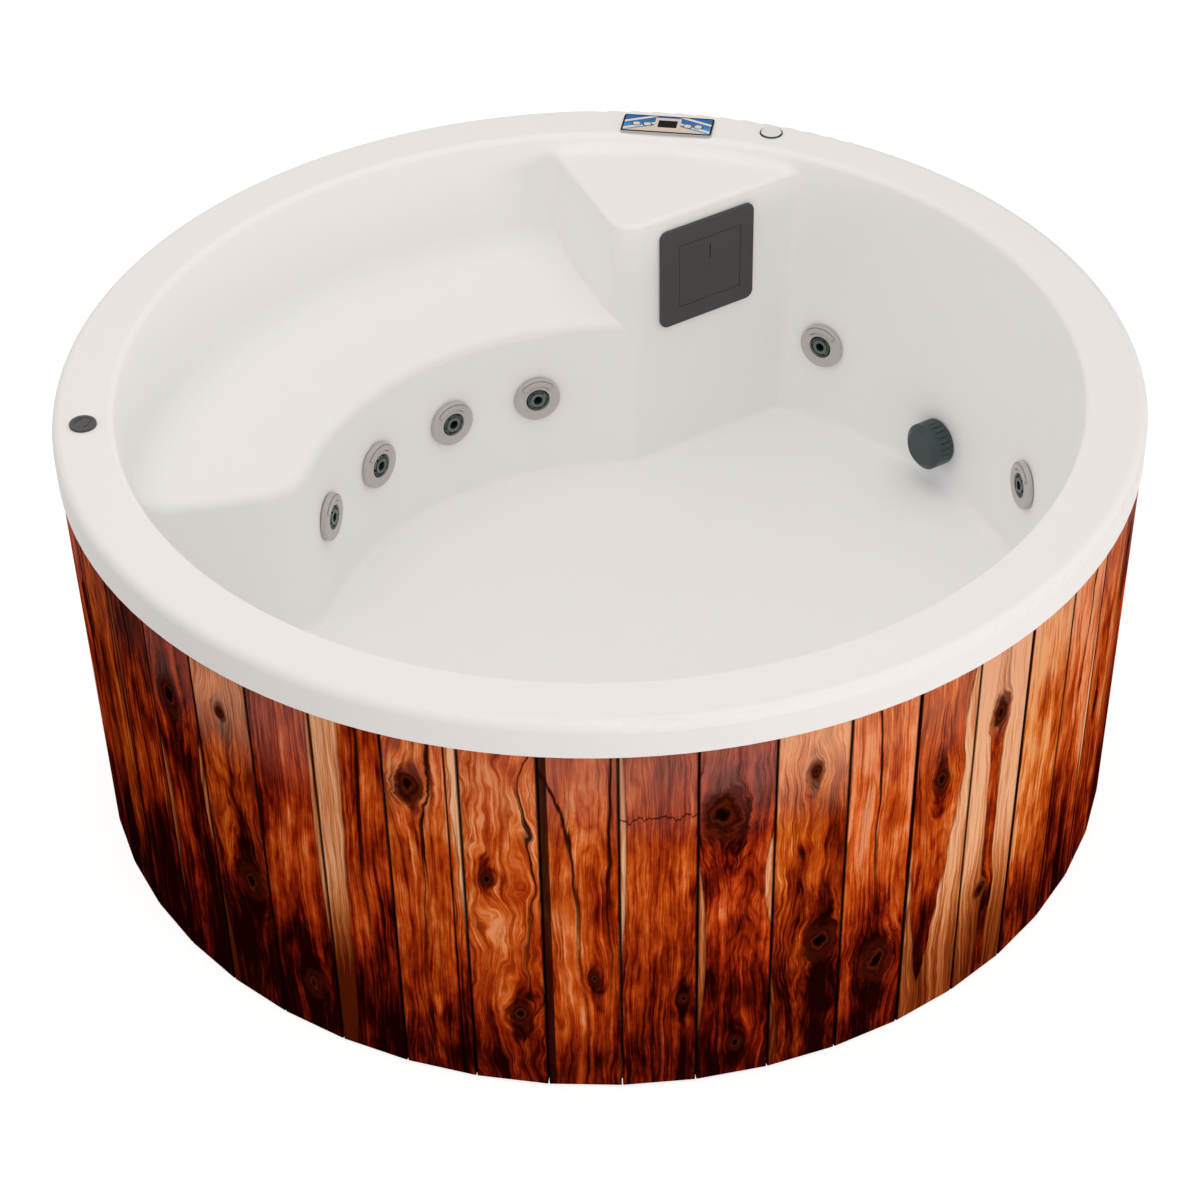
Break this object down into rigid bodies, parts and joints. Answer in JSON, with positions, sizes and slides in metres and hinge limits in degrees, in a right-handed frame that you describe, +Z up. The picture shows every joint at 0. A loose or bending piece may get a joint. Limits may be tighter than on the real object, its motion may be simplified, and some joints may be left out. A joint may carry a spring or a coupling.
{
  "type": "hot tub",
  "caption": "Round free-standing hot tub with a white moulded shell, curved bench, skimmer pedestal, hydro jets, rim controls and a varnished wooden stave skirt.",
  "frame": {"origin": "centre of the underside of the base, on the floor", "axes": "+Z up, +Y towards the skimmer pedestal at the back, +X to the right seen from the front"},
  "size_m": [1.6998, 1.6998, 0.726],
  "materials": {
    "white_gelcoat": "glossy moulded gelcoat",
    "varnished_wood": "gloss varnish over red-brown boards",
    "frame_timber": "planed timber",
    "base_plastic": "moulded base",
    "black_nylon": "moulded",
    "white_pvc": "moulded",
    "seal_rubber": "soft",
    "slate_abs": "satin moulded",
    "graphite_abs": "satin moulded",
    "pin_steel": "ground",
    "filter_paper": "pleated",
    "panel_black": "moulded",
    "panel_print": "printed film",
    "panel_window": "polished window",
    "key_cream": "moulded",
    "button_ring": "dark polished ring",
    "button_white": "moulded",
    "knob_grey": "moulded",
    "jet_ring_grey": "satin moulded",
    "jet_nozzle_dark": "moulded with a metallic look",
    "pump_plastic": "moulded",
    "motor_paint": "painted",
    "heater_steel": "brushed"
  },
  "bodies": {
    "tub": {"air_button_bellows": "seal_rubber", "air_button_body": "button_ring", "air_button_nut": "white_pvc", "air_line": "white_pvc", "air_valve_body": "graphite_abs", "air_valve_nut": "white_pvc", "base_pan": "base_plastic", "bottom_rail": "frame_timber", "cable_gland": "black_nylon", "control_box": "pump_plastic", "filter_cartridge": "filter_paper", "floor_bearers": "frame_timber", "frame_posts": "frame_timber", "gland_stave": "varnished_wood", "heater_tube": "heater_steel", "jet_bodies": "white_pvc", "jet_gaskets": "seal_rubber", "jet_locknuts": "white_pvc", "panel_display": "panel_window", "panel_housing": "panel_black", "panel_overlay": "panel_print", "pressure_pipe": "white_pvc", "pump_feet": "seal_rubber", "pump_motor": "motor_paint", "pump_volute": "pump_plastic", "shell": "white_gelcoat", "skimmer_faceplate": "graphite_abs", "skimmer_gasket": "seal_rubber", "skimmer_housing": "white_pvc", "skimmer_pipe": "white_pvc", "skirt_staves": "varnished_wood", "suction_body": "white_pvc", "suction_cover": "slate_abs", "suction_gasket": "seal_rubber", "suction_locknut": "white_pvc", "suction_pipe": "white_pvc", "top_rail": "frame_timber", "water_line": "white_pvc", "weir_pin": "pin_steel"},
    "jet_ring_1": {"jet_face_1": "jet_ring_grey"},
    "jet_ball_1": {"jet_nozzle_1": "jet_nozzle_dark"},
    "jet_ring_2": {"jet_face_2": "jet_ring_grey"},
    "jet_ball_2": {"jet_nozzle_2": "jet_nozzle_dark"},
    "jet_ring_3": {"jet_face_3": "jet_ring_grey"},
    "jet_ball_3": {"jet_nozzle_3": "jet_nozzle_dark"},
    "jet_ring_4": {"jet_face_4": "jet_ring_grey"},
    "jet_ball_4": {"jet_nozzle_4": "jet_nozzle_dark"},
    "jet_ring_5": {"jet_face_5": "jet_ring_grey"},
    "jet_ball_5": {"jet_nozzle_5": "jet_nozzle_dark"},
    "jet_ring_6": {"jet_face_6": "jet_ring_grey"},
    "jet_ball_6": {"jet_nozzle_6": "jet_nozzle_dark"},
    "weir": {"weir_flap": "graphite_abs"},
    "air_button": {"air_button_cap": "button_white"},
    "knob": {"air_knob": "knob_grey"},
    "key_1": {"panel_button_1": "key_cream"},
    "key_2": {"panel_button_2": "key_cream"},
    "key_3": {"panel_button_3": "key_cream"},
    "key_4": {"panel_button_4": "key_cream"},
    "impeller": {"pump_impeller": "pump_plastic"}
  },
  "joints": [
    {"name": "jet_1_turn", "type": "hinge", "parent": "tub", "child": "jet_ring_1", "pos_m": [-0.4583, 0.12097, 0.358], "axis": [0.9563, -0.2905, 0.0333], "range_deg": [0, 120]},
    {"name": "jet_1_aim", "type": "hinge", "parent": "jet_ring_1", "child": "jet_ball_1", "pos_m": [-0.45639, 0.12038, 0.35807], "axis": [-0.0319, 0.0097, 0.9994], "range_deg": [-20, 20]},
    {"name": "jet_2_turn", "type": "hinge", "parent": "tub", "child": "jet_ring_2", "pos_m": [-0.38518, 0.26957, 0.358], "axis": [0.8137, -0.5804, 0.0333], "range_deg": [0, 120]},
    {"name": "jet_2_aim", "type": "hinge", "parent": "jet_ring_2", "child": "jet_ball_2", "pos_m": [-0.38355, 0.26841, 0.35807], "axis": [-0.0271, 0.0193, 0.9994], "range_deg": [-20, 20]},
    {"name": "jet_3_turn", "type": "hinge", "parent": "tub", "child": "jet_ring_3", "pos_m": [-0.26192, 0.39176, 0.358], "axis": [0.5733, -0.8187, 0.0333], "range_deg": [0, 120]},
    {"name": "jet_3_aim", "type": "hinge", "parent": "jet_ring_3", "child": "jet_ball_3", "pos_m": [-0.26077, 0.39012, 0.35807], "axis": [-0.0191, 0.0273, 0.9994], "range_deg": [-20, 20]},
    {"name": "jet_4_turn", "type": "hinge", "parent": "tub", "child": "jet_ring_4", "pos_m": [-0.11182, 0.46384, 0.358], "axis": [0.2805, -0.9593, 0.0333], "range_deg": [0, 120]},
    {"name": "jet_4_aim", "type": "hinge", "parent": "jet_ring_4", "child": "jet_ball_4", "pos_m": [-0.11126, 0.46192, 0.35807], "axis": [-0.0094, 0.032, 0.9994], "range_deg": [-20, 20]},
    {"name": "jet_5_turn", "type": "hinge", "parent": "tub", "child": "jet_ring_5", "pos_m": [0.40612, 0.61592, 0.358], "axis": [-0.5499, -0.8339, 0.0476], "range_deg": [0, 120]},
    {"name": "jet_5_aim", "type": "hinge", "parent": "jet_ring_5", "child": "jet_ball_5", "pos_m": [0.40502, 0.61425, 0.35809], "axis": [0.0262, 0.0397, 0.9989], "range_deg": [-20, 20]},
    {"name": "jet_6_turn", "type": "hinge", "parent": "tub", "child": "jet_ring_6", "pos_m": [0.71677, 0.17473, 0.358], "axis": [-0.9704, -0.2366, 0.0476], "range_deg": [0, 120]},
    {"name": "jet_6_aim", "type": "hinge", "parent": "jet_ring_6", "child": "jet_ball_6", "pos_m": [0.71483, 0.17426, 0.35809], "axis": [0.0462, 0.0113, 0.9989], "range_deg": [-20, 20]},
    {"name": "weir_swing", "type": "hinge", "parent": "tub", "child": "weir", "pos_m": [0.19468, 0.56346, 0.506], "axis": [-0.8406, -0.5417, 0], "range_deg": [0, 70]},
    {"name": "air_button_press", "type": "slide", "parent": "tub", "child": "air_button", "axis": [0, 0, -1], "range_m": [0, 0.004], "stiffness_N_per_m": 1500, "deforming": ["air_button_bellows"]},
    {"name": "air_knob_turn", "type": "hinge", "parent": "tub", "child": "knob", "pos_m": [-0.79157, -0.12254, 0.72], "axis": [0, 0, 1], "range_deg": [0, 180]},
    {"name": "key_1_press", "type": "slide", "parent": "tub", "child": "key_1", "axis": [0, 0, -1], "range_m": [0, 0.0008], "stiffness_N_per_m": 2500},
    {"name": "key_2_press", "type": "slide", "parent": "tub", "child": "key_2", "axis": [0, 0, -1], "range_m": [0, 0.0008], "stiffness_N_per_m": 2500},
    {"name": "key_3_press", "type": "slide", "parent": "tub", "child": "key_3", "axis": [0, 0, -1], "range_m": [0, 0.0008], "stiffness_N_per_m": 2500},
    {"name": "key_4_press", "type": "slide", "parent": "tub", "child": "key_4", "axis": [0, 0, -1], "range_m": [0, 0.0008], "stiffness_N_per_m": 2500},
    {"name": "impeller_spin", "type": "hinge", "parent": "tub", "child": "impeller", "pos_m": [-0.17145, 0.55841, 0.115], "axis": [-0.9744, -0.225, 0], "continuous": true}
  ]
}
